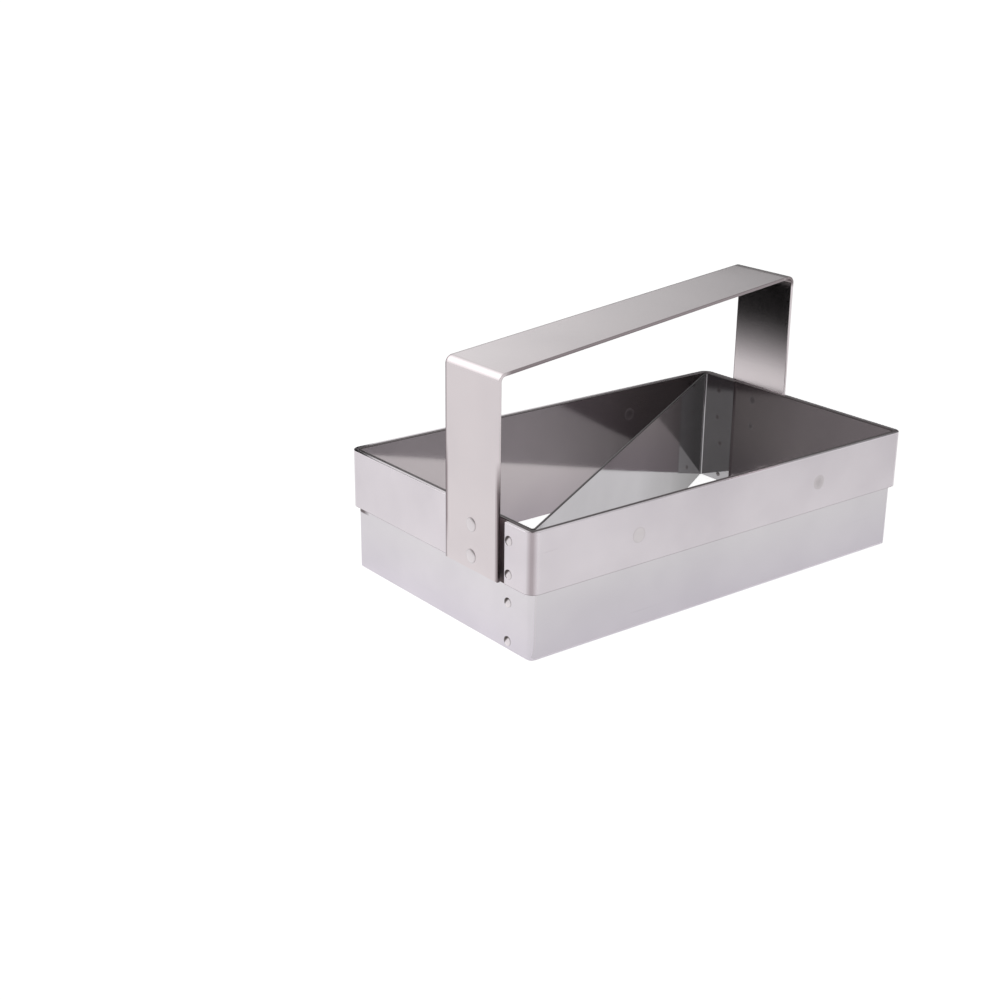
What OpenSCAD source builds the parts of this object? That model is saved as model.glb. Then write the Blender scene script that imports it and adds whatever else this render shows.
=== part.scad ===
// Hand press cutter for pastry triangles.
// A rectangular steel cutting band, stiffened round its upper half by a second band, is split
// corner to corner by an upright blade and carried by a flat strap handle.
// The frame's length runs along X and its width along Y. The cutting edges lie on Z zero,
// and the middle of the frame is the origin.

/* [Cutting frame] */
// Length of the frame, measured outside the reinforcing band
frame_l = 200; // [160:1:260]
// Width of the frame, measured outside the reinforcing band
frame_w = 117.5; // [100:0.5:160]
// Height of the cutting band from its cutting edge to its rim
frame_h = 50.5; // [44:0.5:70]
// Thickness of the cutting band's sheet
cut_t = 1; // [0.8:0.1:2]
// Inside radius of the cutting band's corners
corner_r = 1.5; // [0.6:0.1:4]

/* [Reinforcing band] */
// Height of the band, measured down from the rim
band_h = 24; // [22:1:34]
// Thickness of the band's sheet
band_t = 2; // [1.4:0.1:3]
// Width of the slit that shows between the band's free end and the near leg
slit_w = 2.4; // [1:0.1:4]
// How far the slit runs on under the near leg
slit_under = 5; // [2:0.5:8]

/* [Diagonal blade] */
// Thickness of the blade's sheet
blade_t = 0.9; // [0.8:0.1:2]
// Length of the tab folded at each end of the blade to lie along the end wall
tab_l = 19.5; // [17:0.5:24]

/* [Strap handle] */
// Height of the handle's top face above the cutting edge
handle_h = 104.5; // [90:0.5:140]
// Thickness of the strap
strap_t = 1.3; // [1:0.1:3]
// Width of the strap's legs, along the end walls
leg_w = 31.9; // [26:0.1:34]
// Inside radius of the strap's bends
strap_bend_r = 2; // [1:0.5:6]
// Distance along the end wall from the frame's corner to each leg, at the blade's two corners
leg_inset = 17.7; // [15:0.1:22]

/* [Rivets] */
// Diameter of the handle rivets' heads
handle_head_d = 5.6; // [5:0.1:8]
// Diameter of the handle rivets' shanks
handle_shank_d = 4; // [3:0.1:4.6]
// Height of the lower handle rivet above the leg's end
handle_rivet_low = 5.2; // [4.5:0.1:7]
// Spacing of the two rivets in a leg
handle_rivet_pitch = 12.4; // [9:0.1:14]
// Diameter of the tab rivets' heads
tab_head_d = 3.8; // [3:0.1:4.6]
// Diameter of the tab rivets' shanks
tab_shank_d = 2.4; // [1.8:0.1:2.8]
// Diameter of the band rivets' flush ends
band_end_d = 6.2; // [5:0.1:8]
// Diameter of the band rivets' shanks
band_shank_d = 4.4; // [3:0.1:4.8]
// Distance of the band rivets from the middle of the long walls
band_rivet_x = 49; // [30:1:60]

/* [Hidden] */
// Steel left between a tab rivet's head and the band's free end
band_end_margin = 0.4;
// Heights of the tab rivets: two through the band, measured down from the rim
upper_tab_drops = [6.5, 19.5];
// Heights of the tab rivets: two under the band, measured up from the cutting edge
lower_tab_rises = [3.2, 18.6];
// Distance of the lower tab rivets from the tab's free edge
lower_tab_edge = 6.9;
// Rise of the domed rivet heads
dome_rise = 0.5;
// Depth of the countersunk ends that lie flush with a sheet
sink_depth = 0.6;
// Gap round a rivet in its hole
rivet_gap = 0.05;
// Overrun of every cut past the face that it opens
overrun = 1;
// Smoothness of round surfaces
$fn = 64;

// Cutting band and its inside
cut_l = frame_l - 2 * band_t;
cut_w = frame_w - 2 * band_t;
inner_l = cut_l - 2 * cut_t;
inner_w = cut_w - 2 * cut_t;
cut_r = corner_r + cut_t;
band_r = cut_r + band_t;

// Lower edge of the reinforcing band, which the handle's legs share
band_z = frame_h - band_h;

// Blade, from inside corner to inside corner
blade_l = norm([inner_l, inner_w]);
blade_angle = atan2(inner_w, inner_l);

// Handle: outside of the legs, ends of the flat bar and centre height of the bends
leg_x = frame_l / 2 + strap_t;
bar_x = frame_l / 2 - strap_bend_r;
strap_outer_r = strap_bend_r + strap_t;
bend_z = handle_h - strap_outer_r;
leg_front_y = leg_inset - frame_w / 2;
leg_back_y = leg_front_y + leg_w;
leg_mid_y = leg_front_y + leg_w / 2;

// Slit in the reinforcing band, beside and under the near leg
slit_front_y = leg_front_y - slit_w;
slit_back_y = leg_front_y + slit_under;

// Rivet places on the near end wall and on the front wall
handle_rivet_levels = [band_z + handle_rivet_low, band_z + handle_rivet_low + handle_rivet_pitch];
upper_tab_y = slit_front_y - band_end_margin - tab_head_d / 2;
lower_tab_y = -inner_w / 2 + tab_l - lower_tab_edge;
upper_tab_levels = [for (drop = upper_tab_drops) frame_h - drop];
band_rivet_z = frame_h - band_h / 2;

// Sheets that each kind of rivet holds together
handle_grip = cut_t + band_t + strap_t;
upper_tab_grip = blade_t + cut_t + band_t;
lower_tab_grip = blade_t + cut_t;
band_grip = cut_t + band_t;

// Rectangle with round corners
module round_rectangle(length, width, radius) {
    square([length - 2 * radius, width], center = true);
    square([length, width - 2 * radius], center = true);
    for (side_x = [-1, 1], side_y = [-1, 1])
        translate([side_x * (length / 2 - radius), side_y * (width / 2 - radius)])
            circle(radius);
}

// Places a shape once as drawn at the near end, and once turned round to the far end
module at_both_ends() {
    for (turn = [0, 180])
        rotate([0, 0, turn])
            children();
}

// Turns a rivet outwards through the near end wall, from the face at inner_x
module through_end_wall(inner_x, y, z) {
    translate([inner_x, y, z])
        rotate([0, -90, 0])
            children();
}

// Turns a rivet outwards through the front wall, from the wall's inner face
module through_front_wall(x, z) {
    translate([x, -inner_w / 2, z])
        rotate([90, 0, 0])
            children();
}

// Countersunk end that lies flush with the sheet at height zero
module sunk_end(shank_d) {
    cylinder(d1 = shank_d + 2 * sink_depth, d2 = shank_d, h = sink_depth);
}

// Low domed head standing on height zero
module domed_head(head_d) {
    ball_r = (pow(head_d / 2, 2) + pow(dome_rise, 2)) / (2 * dome_rise);
    intersection() {
        translate([0, 0, dome_rise - ball_r])
            sphere(ball_r, $fn = 128);
        cylinder(d = head_d, h = dome_rise);
    }
}

// Rivet with a flush inner end and a low domed head outside
module domed_rivet(head_d, shank_d, grip) {
    cylinder(d = shank_d, h = grip);
    sunk_end(shank_d);
    translate([0, 0, grip])
        domed_head(head_d);
}

// Rivet ground flush at both ends, with a tapered outer end
module flush_rivet(end_d, shank_d, grip) {
    taper = (end_d - shank_d) / 2;
    cylinder(d = shank_d, h = grip);
    sunk_end(shank_d);
    translate([0, 0, grip - taper])
        cylinder(d1 = shank_d, d2 = end_d, h = taper);
}

// Hole for a rivet's shank and its flush inner end
module rivet_hole(shank_d, grip) {
    hole_d = shank_d + 2 * rivet_gap;
    mouth_d = hole_d + 2 * (sink_depth + overrun);
    translate([0, 0, -overrun])
        cylinder(d = hole_d, h = grip + 2 * overrun);
    translate([0, 0, -overrun])
        cylinder(d1 = mouth_d, d2 = hole_d, h = sink_depth + overrun);
}

// Hole for a rivet that is flush at both ends
module flush_rivet_hole(end_d, shank_d, grip) {
    taper = (end_d - shank_d) / 2;
    hole_d = shank_d + 2 * rivet_gap;
    rivet_hole(shank_d, grip);
    translate([0, 0, grip - taper])
        cylinder(d1 = hole_d, d2 = hole_d + 2 * (taper + overrun), h = taper + overrun);
}

// Holes of the handle rivets through all the sheets at one end
module handle_rivet_holes() {
    for (level = handle_rivet_levels)
        through_end_wall(-inner_l / 2, leg_mid_y, level)
            rivet_hole(handle_shank_d, handle_grip);
}

// Holes of the tab rivets through all the sheets at one end
module tab_rivet_holes() {
    for (level = upper_tab_levels)
        through_end_wall(-inner_l / 2 + blade_t, upper_tab_y, level)
            rivet_hole(tab_shank_d, upper_tab_grip);
    for (level = lower_tab_rises)
        through_end_wall(-inner_l / 2 + blade_t, lower_tab_y, level)
            rivet_hole(tab_shank_d, lower_tab_grip);
}

// Holes of the band rivets through the front wall
module band_rivet_holes() {
    for (side = [-1, 1])
        through_front_wall(side * band_rivet_x, band_rivet_z)
            flush_rivet_hole(band_end_d, band_shank_d, band_grip);
}

// Closed strip of sheet that cuts the outline
module cutting_band() {
    color("gainsboro")
        difference() {
            linear_extrude(frame_h)
                difference() {
                    round_rectangle(cut_l, cut_w, cut_r);
                    round_rectangle(inner_l, inner_w, corner_r);
                }
            at_both_ends() {
                handle_rivet_holes();
                tab_rivet_holes();
                band_rivet_holes();
            }
        }
}

// Strip round the upper half of the cutting band, with its slit beside the near leg
module reinforcing_band() {
    color("lightgray")
        difference() {
            translate([0, 0, band_z])
                linear_extrude(band_h)
                    difference() {
                        round_rectangle(frame_l, frame_w, band_r);
                        round_rectangle(cut_l, cut_w, cut_r);
                    }
            translate([-frame_l / 2 - overrun, slit_front_y, band_z - overrun])
                cube([band_t + 2 * overrun, slit_back_y - slit_front_y, band_h + 2 * overrun]);
            at_both_ends() {
                handle_rivet_holes();
                tab_rivet_holes();
                band_rivet_holes();
            }
        }
}

// Upright blade from corner to corner, with a tab folded along the wall at each end
module diagonal_blade() {
    color("silver")
        difference() {
            linear_extrude(frame_h)
                intersection() {
                    round_rectangle(inner_l, inner_w, corner_r);
                    union() {
                        rotate(blade_angle)
                            square([blade_l, blade_t], center = true);
                        at_both_ends()
                            translate([-inner_l / 2, -inner_w / 2])
                                square([blade_t, tab_l]);
                    }
                }
            at_both_ends()
                tab_rivet_holes();
        }
}

// Side outline of the near leg and its bend, X across and Z up
module leg_outline() {
    translate([-leg_x, band_z])
        square([strap_t, bend_z - band_z]);
    translate([-bar_x, bend_z])
        intersection() {
            difference() {
                circle(strap_outer_r);
                circle(strap_bend_r);
            }
            translate([-strap_outer_r, 0])
                square(strap_outer_r);
        }
}

// Flat strap over the frame: its bar runs aslant from the near leg to the far leg
module strap_handle() {
    color("whitesmoke")
        difference() {
            union() {
                translate([0, 0, handle_h - strap_t])
                    linear_extrude(strap_t)
                        polygon([
                            [-bar_x, leg_front_y],
                            [bar_x, -leg_back_y],
                            [bar_x, -leg_front_y],
                            [-bar_x, leg_back_y]
                        ]);
                at_both_ends()
                    translate([0, leg_back_y, 0])
                        rotate([90, 0, 0])
                            linear_extrude(leg_w)
                                leg_outline();
            }
            at_both_ends()
                handle_rivet_holes();
        }
}

// Rivet that holds a leg to both bands, at one of two levels, turned to the near or far end
module handle_rivet(turn, level) {
    color("darkgray")
        rotate([0, 0, turn])
            through_end_wall(-inner_l / 2, leg_mid_y, handle_rivet_levels[level])
                domed_rivet(handle_head_d, handle_shank_d, handle_grip);
}

// Rivet that holds a blade tab through both bands
module upper_tab_rivet(turn, level) {
    color("dimgray")
        rotate([0, 0, turn])
            through_end_wall(-inner_l / 2 + blade_t, upper_tab_y, upper_tab_levels[level])
                domed_rivet(tab_head_d, tab_shank_d, upper_tab_grip);
}

// Rivet that holds a blade tab through the cutting band alone
module lower_tab_rivet(turn, level) {
    color("dimgray")
        rotate([0, 0, turn])
            through_end_wall(-inner_l / 2 + blade_t, lower_tab_y, lower_tab_rises[level])
                domed_rivet(tab_head_d, tab_shank_d, lower_tab_grip);
}

// Flush rivet that holds the reinforcing band to a long wall, left or right of its middle
module band_rivet(turn, side) {
    color("lightslategray")
        rotate([0, 0, turn])
            through_front_wall(side * band_rivet_x, band_rivet_z)
                flush_rivet(band_end_d, band_shank_d, band_grip);
}

cutting_band();
reinforcing_band();
diagonal_blade();
strap_handle();
handle_rivet(0, 0);  // near_handle_rivet_lower
handle_rivet(0, 1);  // near_handle_rivet_upper
handle_rivet(180, 0);  // far_handle_rivet_lower
handle_rivet(180, 1);  // far_handle_rivet_upper
lower_tab_rivet(0, 0);  // near_tab_rivet_foot
lower_tab_rivet(0, 1);  // near_tab_rivet_middle
upper_tab_rivet(0, 1);  // near_tab_rivet_band_lower
upper_tab_rivet(0, 0);  // near_tab_rivet_band_upper
lower_tab_rivet(180, 0);  // far_tab_rivet_foot
lower_tab_rivet(180, 1);  // far_tab_rivet_middle
upper_tab_rivet(180, 1);  // far_tab_rivet_band_lower
upper_tab_rivet(180, 0);  // far_tab_rivet_band_upper
band_rivet(0, -1);  // front_band_rivet_left
band_rivet(0, 1);  // front_band_rivet_right
band_rivet(180, -1);  // back_band_rivet_left
band_rivet(180, 1);  // back_band_rivet_right
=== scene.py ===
"""Looks of a hand press cutter for pastry triangles.

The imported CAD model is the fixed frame. Every sheet and every rivet of it is stood for by a finer piece
in the same place: strips with broken edges and rounded bends, low domed rivets and flush ones, all in
rolled stainless steel.
"""

import logging
import math
from dataclasses import dataclass, field, replace
from enum import Enum
from typing import Any, Iterable, Sequence, Union

import bmesh
import bpy
from mathutils import Matrix, Vector


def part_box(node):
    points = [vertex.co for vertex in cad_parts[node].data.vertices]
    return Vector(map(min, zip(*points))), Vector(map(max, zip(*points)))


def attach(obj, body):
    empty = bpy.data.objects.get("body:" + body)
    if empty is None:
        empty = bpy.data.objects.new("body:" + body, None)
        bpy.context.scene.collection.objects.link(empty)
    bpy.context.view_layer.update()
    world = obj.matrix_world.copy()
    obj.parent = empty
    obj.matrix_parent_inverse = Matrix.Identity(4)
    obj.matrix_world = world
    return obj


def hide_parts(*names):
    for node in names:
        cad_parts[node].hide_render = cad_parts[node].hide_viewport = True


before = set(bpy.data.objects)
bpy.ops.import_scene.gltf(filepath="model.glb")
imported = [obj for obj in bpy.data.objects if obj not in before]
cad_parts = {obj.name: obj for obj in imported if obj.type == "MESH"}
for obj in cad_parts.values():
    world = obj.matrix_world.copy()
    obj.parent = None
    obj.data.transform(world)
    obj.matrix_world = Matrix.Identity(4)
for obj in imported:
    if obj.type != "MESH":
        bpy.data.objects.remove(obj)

log = logging.getLogger("press_cutter")

BODY = "root"
MM = 0.001
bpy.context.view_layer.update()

Colour = tuple[float, float, float]
Operand = Union["Sock", float, int]
Span = tuple[Union[float, None], Union[float, None]]
OPEN: Span = (None, None)


class Wall(Enum):
    """The four upright walls of the frame, each with its outward direction."""

    NEAR_END = (-1.0, 0.0, 0.0)
    FAR_END = (1.0, 0.0, 0.0)
    FRONT = (0.0, -1.0, 0.0)
    BACK = (0.0, 1.0, 0.0)

    @property
    def outward(self) -> Vector:
        """The direction that the wall's outer face looks in."""
        return Vector(self.value)

    @property
    def axis(self) -> int:
        """The index of the axis that goes through the wall."""
        return 0 if self.value[0] else 1


class Run(Enum):
    """What a finish's grain runs along."""

    LEVEL = "object"
    STRIP = "uv"


class Sock:
    """A node's output that takes part in Python sums, each of which adds a Math node."""

    def __init__(self, tree: bpy.types.NodeTree, socket: bpy.types.NodeSocket) -> None:
        """Keeps the tree and the output socket."""
        self.tree = tree
        self.socket = socket

    def out(self, key: Union[str, int]) -> "Sock":
        """Another output of the same node, by name or index."""
        return Sock(self.tree, self.socket.node.outputs[key])

    def _math(self, operation: str, first: Operand, second: Operand) -> "Sock":
        """Adds one Math node.

        Args:
            operation: The Math node's operation.
            first: The first operand, a socket or a number.
            second: The second operand, a socket or a number.

        Returns:
            The node's result.
        """
        node = self.tree.nodes.new("ShaderNodeMath")
        node.operation = operation
        for slot, value in zip(node.inputs, (first, second)):
            if isinstance(value, Sock):
                self.tree.links.new(value.socket, slot)
            else:
                slot.default_value = value
        return Sock(self.tree, node.outputs[0])

    def __add__(self, other: Operand) -> "Sock":
        """Sum."""
        return self._math("ADD", self, other)

    def __radd__(self, other: Operand) -> "Sock":
        """Sum with a number first."""
        return self._math("ADD", other, self)

    def __sub__(self, other: Operand) -> "Sock":
        """Difference."""
        return self._math("SUBTRACT", self, other)

    def __rsub__(self, other: Operand) -> "Sock":
        """Difference with a number first."""
        return self._math("SUBTRACT", other, self)

    def __mul__(self, other: Operand) -> "Sock":
        """Product."""
        return self._math("MULTIPLY", self, other)

    def __truediv__(self, other: Operand) -> "Sock":
        """Quotient."""
        return self._math("DIVIDE", self, other)

    def __pow__(self, other: Operand) -> "Sock":
        """Power."""
        return self._math("POWER", self, other)

    def __abs__(self) -> "Sock":
        """Size without its sign."""
        return self._math("ABSOLUTE", self, 0.0)

    def at_most(self, other: Operand) -> "Sock":
        """The smaller of the two."""
        return self._math("MINIMUM", self, other)

    def at_least(self, other: Operand) -> "Sock":
        """The larger of the two."""
        return self._math("MAXIMUM", self, other)

    def above(self, other: Operand) -> "Sock":
        """One where it is the larger, and nought elsewhere."""
        return self._math("GREATER_THAN", self, other)


class Bench:
    """A node tree under construction, for a material, the world or a geometry tree."""

    mix_share = 0
    mix_first = 6
    mix_second = 7

    def __init__(self, tree: bpy.types.NodeTree) -> None:
        """Keeps the tree."""
        self.tree = tree

    @classmethod
    def material(cls, name: str) -> "tuple[bpy.types.Material, Bench]":
        """A new material.

        Args:
            name: Its name.

        Returns:
            The material and its empty tree.
        """
        material = bpy.data.materials.new(name)
        material.use_nodes = True
        material.node_tree.nodes.clear()
        return material, cls(material.node_tree)

    def add(
        self,
        kind: str,
        settings: dict[str, Any] | None = None,
        sockets: dict[Union[str, int], Any] | None = None,
    ) -> Sock:
        """Adds a node of any kind.

        Args:
            kind: The node's type name.
            settings: Its own settings, set before anything is fed to it.
            sockets: Values or sockets for its inputs, by name or index.

        Returns:
            The node's first output that is in use.
        """
        node = self.tree.nodes.new(kind)
        for key, value in (settings or {}).items():
            setattr(node, key, value)
        for key, value in (sockets or {}).items():
            slot = node.inputs[key]
            for item in value if isinstance(value, list) else [value]:
                if isinstance(item, Sock):
                    self.tree.links.new(item.socket, slot)
                else:
                    slot.default_value = item
        used = [o for o in node.outputs if o.enabled] or list(node.outputs) or [None]
        return Sock(self.tree, used[0])

    def seen(self) -> Sock:
        """One for what the camera, a mirror or glass shows, nought for light that falls on matt things."""
        path = self.add("ShaderNodeLightPath")
        return path.out("Is Camera Ray") + path.out("Is Glossy Ray") + path.out("Is Transmission Ray")

    def levels(self, value: Sock, span: tuple[float, float]) -> Sock:
        """A value spread over a span.

        Args:
            value: The value.
            span: Where the result is nought and where it is one.

        Returns:
            The spread value.
        """
        ramp = self.add("ShaderNodeValToRGB", sockets={"Fac": value})
        for element, place in zip(ramp.socket.node.color_ramp.elements, span):
            element.position = place
        return ramp

    def blend(self, share: Operand, first: Any, second: Any) -> Sock:
        """A mix of two colours.

        Args:
            share: How much of the second colour there is.
            first: A colour or a socket.
            second: A colour or a socket.

        Returns:
            The mixed colour.
        """
        colours = [c if isinstance(c, Sock) else (*c, 1.0) for c in (first, second)]
        sockets = {self.mix_share: share, self.mix_first: colours[0], self.mix_second: colours[1]}
        return self.add("ShaderNodeMix", {"data_type": "RGBA"}, sockets)

    def tinted(self, share: Operand, colour: Sock, tint: Colour) -> Sock:
        """A colour multiplied by a tint.

        Args:
            share: How much of the tint there is.
            colour: The colour.
            tint: The tint.

        Returns:
            The tinted colour.
        """
        settings = {"data_type": "RGBA", "blend_type": "MULTIPLY"}
        sockets = {self.mix_share: share, self.mix_first: colour, self.mix_second: (*tint, 1.0)}
        return self.add("ShaderNodeMix", settings, sockets)

    def stretched(self, vector: Sock, scale: Sequence[float]) -> Sock:
        """Coordinates with their own scale along each axis.

        Args:
            vector: The coordinates.
            scale: The three scales.

        Returns:
            The scaled coordinates.
        """
        return self.add("ShaderNodeVectorMath", {"operation": "MULTIPLY"}, {0: vector, 1: tuple(scale)})

    def along(self, vector: Sock, way: Any) -> Sock:
        """How far a vector goes along a direction.

        Args:
            vector: The vector.
            way: The direction, three numbers or a socket.

        Returns:
            Their dot product.
        """
        settings = {"operation": "DOT_PRODUCT"}
        return self.add("ShaderNodeVectorMath", settings, {0: vector, 1: way}).out("Value")

    def moved(self, vector: Sock, push: Vector, amount: Sock) -> Sock:
        """A vector moved by part of a push.

        Args:
            vector: The vector.
            push: The whole push.
            amount: How much of it counts.

        Returns:
            The moved vector.
        """
        sockets = {0: tuple(push), "Scale": amount}
        shift = self.add("ShaderNodeVectorMath", {"operation": "SCALE"}, sockets)
        return self.add("ShaderNodeVectorMath", {"operation": "ADD"}, {0: vector, 1: shift})

    def noise(self, vector: Sock, scale: float, detail: float = 2.0, rough: float = 0.5) -> Sock:
        """Soft noise.

        Args:
            vector: The coordinates.
            scale: Its scale.
            detail: How many finer layers it has.
            rough: How strong the finer layers are.

        Returns:
            The noise's value, from nought to one.
        """
        sockets = {"Vector": vector, "Scale": scale, "Detail": detail, "Roughness": rough}
        return self.add("ShaderNodeTexNoise", {"noise_dimensions": "3D"}, sockets)


@dataclass(frozen=True)
class Zone:
    """A box of the object where a sheet has another tone, such as a cut edge or the painted shade in the
    slit.
    """

    tint: Colour = (1.0, 1.0, 1.0)
    rough: float = 0.0
    x: Span = OPEN
    y: Span = OPEN
    z: Span = OPEN
    soft: float = 0.15 * MM
    mirrored: bool = False
    within: "Zone | None" = None

    def mask(self, bench: Bench, parts: Sock) -> Sock:
        """Where the zone is.

        Args:
            bench: The tree.
            parts: A node that gives the object's coordinates as X, Y and Z.

        Returns:
            One well inside the zone, nought outside it.
        """
        mask = None if self.within is None else self.within.mask(bench, parts)
        for axis, (low, high) in (("X", self.x), ("Y", self.y), ("Z", self.z)):
            place = parts.out(axis)
            if self.mirrored and axis != "Z":
                place = abs(place)
            sides = [] if low is None else [(place - low) / self.soft]
            sides += [] if high is None else [(high - place) / self.soft]
            for side in sides:
                near = side.at_least(0.0).at_most(1.0)
                mask = near if mask is None else mask * near
        return mask


@dataclass(frozen=True)
class Lean:
    """A slight lean of a sheet's face, in degrees, which moves what the face mirrors."""

    facing: Colour
    down: float
    swing: float = 0.0
    curl: float = 0.0
    curl_height: float = 14.0 * MM
    inward: bool = True
    same_way: float = 0.9

    @property
    def push(self) -> Vector:
        """What the lean adds to the face's normal.

        Returns:
            The push.
        """
        up = Vector((0.0, 0.0, 1.0))
        aside = up.cross(Vector(self.facing))
        return aside * math.tan(math.radians(self.swing)) - up * math.tan(math.radians(self.down))

    @property
    def lift(self) -> Vector:
        """What the curl adds to the normal at the foot of the face."""
        return Vector((0.0, 0.0, math.tan(math.radians(self.curl))))

    def added(self, bench: Bench, normal: Sock, flat: Sock, place: Sock) -> Sock:
        """A normal with the lean, where the face is.

        Args:
            bench: The tree.
            normal: The normal so far.
            flat: The plain normal of the surface.
            place: The object's coordinates.

        Returns:
            The leaning normal.
        """
        mask = bench.along(flat, self.facing).above(self.same_way)
        if self.inward:
            mask = mask * bench.along(place, tuple(-v for v in self.facing)).above(0.0)
        normal = bench.moved(normal, self.push, mask)
        if self.curl:
            height = bench.along(place, (0.0, 0.0, 1.0))
            near_foot = ((self.curl_height - height) / self.curl_height).at_least(0.0)
            normal = bench.moved(normal, self.lift, mask * near_foot)
        return normal


@dataclass(frozen=True)
class SteelFinish:
    """Rolled stainless steel, with its grain, clouds, shallow waves, fine scratches and zones."""

    name: str
    slot: str
    colour: Colour
    cloud_colour: Colour
    roughness: float
    cloud_roughness: float
    grain_roughness: float
    run: Run = Run.LEVEL
    zones: tuple[Zone, ...] = ()
    leans: tuple[Lean, ...] = ()
    tarnish: Colour | None = None
    tarnish_roughness: float = 0.15
    roughness_range: tuple[float, float] = (0.02, 0.9)
    grain_scales: tuple[float, float] = (26.0, 5200.0)
    grain_noise: tuple[float, float] = (3.0, 0.6)
    grain_depth: float = 0.0006 * MM
    cloud_scale: float = 21.0
    cloud_noise: tuple[float, float] = (3.0, 0.55)
    cloud_levels: tuple[float, float] = (0.36, 0.66)
    wave_scale: float = 15.0
    wave_noise: tuple[float, float] = (1.0, 0.4)
    wave_depth: float = 0.16 * MM
    scratch_scales: tuple[float, float] = (24.0, 1500.0)
    scratch_noise: tuple[float, float] = (1.0, 0.5)
    scratch_levels: tuple[float, float] = (0.75, 0.83)
    scratch_tint: Colour = (0.6, 0.58, 0.58)
    scratch_shade: float = 0.2
    scratch_roughness: float = 0.06
    scratch_cut: float = 0.5

    def material(self) -> bpy.types.Material:
        """The finish as a material.

        Returns:
            The new material.
        """
        material, bench = Bench.material(self.name)
        place = bench.add("ShaderNodeTexCoord").out("Object")
        run = place if self.run is Run.LEVEL else bench.add("ShaderNodeUVMap", {"uv_map": "run"})
        grain = self._lines(bench, run, self.grain_scales, self.grain_noise)
        cloud = bench.noise(place, self.cloud_scale, *self.cloud_noise)
        cloud = bench.levels(cloud, self.cloud_levels)
        scratch = self._lines(bench, run, self.scratch_scales, self.scratch_noise)
        scratch = bench.levels(scratch, self.scratch_levels)
        colour = bench.blend(cloud, self.colour, self.cloud_colour)
        colour = bench.tinted(scratch * self.scratch_shade, colour, self.scratch_tint)
        rough = self.roughness + cloud * self.cloud_roughness + (grain - 0.5) * self.grain_roughness
        rough = rough + scratch * self.scratch_roughness
        parts = bench.add("ShaderNodeSeparateXYZ", sockets={"Vector": run})
        for zone in self.zones:
            mask = zone.mask(bench, parts)
            colour = bench.tinted(mask, colour, zone.tint)
            rough = rough + mask * zone.rough
        # tarnish and painted shade that the rivets carry
        if self.tarnish is not None:
            stain_and_shade = bench.add("ShaderNodeAttribute", {"attribute_name": "tarnish"}).out("Fac")
            colour = bench.tinted(stain_and_shade, colour, self.tarnish)
            rough = rough + stain_and_shade * self.tarnish_roughness
        least, most = self.roughness_range
        sockets = {
            "Base Color": colour,
            "Metallic": 1.0,
            "Roughness": rough.at_least(least).at_most(most),
            "Normal": self._relief(bench, place, grain - scratch * self.scratch_cut),
        }
        shader = bench.add("ShaderNodeBsdfPrincipled", sockets=sockets)
        bench.add("ShaderNodeOutputMaterial", sockets={"Surface": shader})
        return material

    def _lines(
        self, bench: Bench, run: Sock, scales: tuple[float, float], kind: tuple[float, float]
    ) -> Sock:
        """Noise drawn out into lines along the strip.

        Args:
            bench: The tree.
            run: Coordinates along and across the strip.
            scales: The scales along it and across it.
            kind: The noise's detail and roughness.

        Returns:
            The noise's value.
        """
        along, across = scales
        scale = (along, along, across) if self.run is Run.LEVEL else (along, across, 1.0)
        return bench.noise(bench.stretched(run, scale), 1.0, *kind)

    def _relief(self, bench: Bench, place: Sock, lines: Sock) -> Sock:
        """The leaning faces with the sheet's shallow waves, and its lines on them.

        Args:
            bench: The tree.
            place: The object's coordinates.
            lines: The height of the grain and the scratches.

        Returns:
            The normal.
        """
        surface = bench.add("ShaderNodeNewGeometry")
        normal = surface.out("Normal")
        for lean in self.leans:
            normal = lean.added(bench, normal, surface.out("True Normal"), place)
        normal = bench.add("ShaderNodeVectorMath", {"operation": "NORMALIZE"}, {0: normal})
        wave = bench.noise(place, self.wave_scale, *self.wave_noise)
        for depth, height in ((self.wave_depth, wave), (self.grain_depth, lines)):
            sockets = {"Distance": depth, "Height": height, "Normal": normal}
            normal = bench.add("ShaderNodeBump", sockets=sockets)
        return normal


@dataclass(frozen=True)
class FloorFinish:
    """A pale matt table top."""

    name: str = "pale_table"
    colour: Colour = (0.90, 0.90, 0.90)
    roughness: float = 0.9
    speck_scale: float = 3.0
    speck_share: float = 0.04
    glow: float = 0.90

    def material(self) -> bpy.types.Material:
        """The finish as a material.

        Returns:
            The new material.
        """
        material, bench = Bench.material(self.name)
        place = bench.add("ShaderNodeTexCoord").out("Object")
        speck = bench.noise(place, self.speck_scale)
        tone = bench.blend(speck * self.speck_share, self.colour, (1.0, 1.0, 1.0))
        sockets = {"Base Color": tone, "Roughness": self.roughness, "Specular IOR Level": 0.0}
        shader = bench.add("ShaderNodeBsdfPrincipled", sockets=sockets)
        sockets = {"Color": (1.0, 1.0, 1.0, 1.0), "Strength": bench.seen() * self.glow}
        glow = bench.add("ShaderNodeEmission", sockets=sockets)
        both = bench.add("ShaderNodeAddShader", sockets={0: shader, 1: glow})
        bench.add("ShaderNodeOutputMaterial", sockets={"Surface": both})
        return material


@dataclass(frozen=True)
class CardFinish:
    """A studio card that only reflections show, as bright as its corners say."""

    name: str
    fall: float = 1.0

    def material(self) -> bpy.types.Material:
        """The finish as a material.

        Returns:
            The new material.
        """
        material, bench = Bench.material(self.name)
        level = bench.add("ShaderNodeAttribute", {"attribute_name": "level"}).out("Fac")
        glow = bench.add("ShaderNodeEmission", sockets={"Color": level.at_least(0.0) ** self.fall})
        bench.add("ShaderNodeOutputMaterial", sockets={"Surface": glow})
        return material


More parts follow.
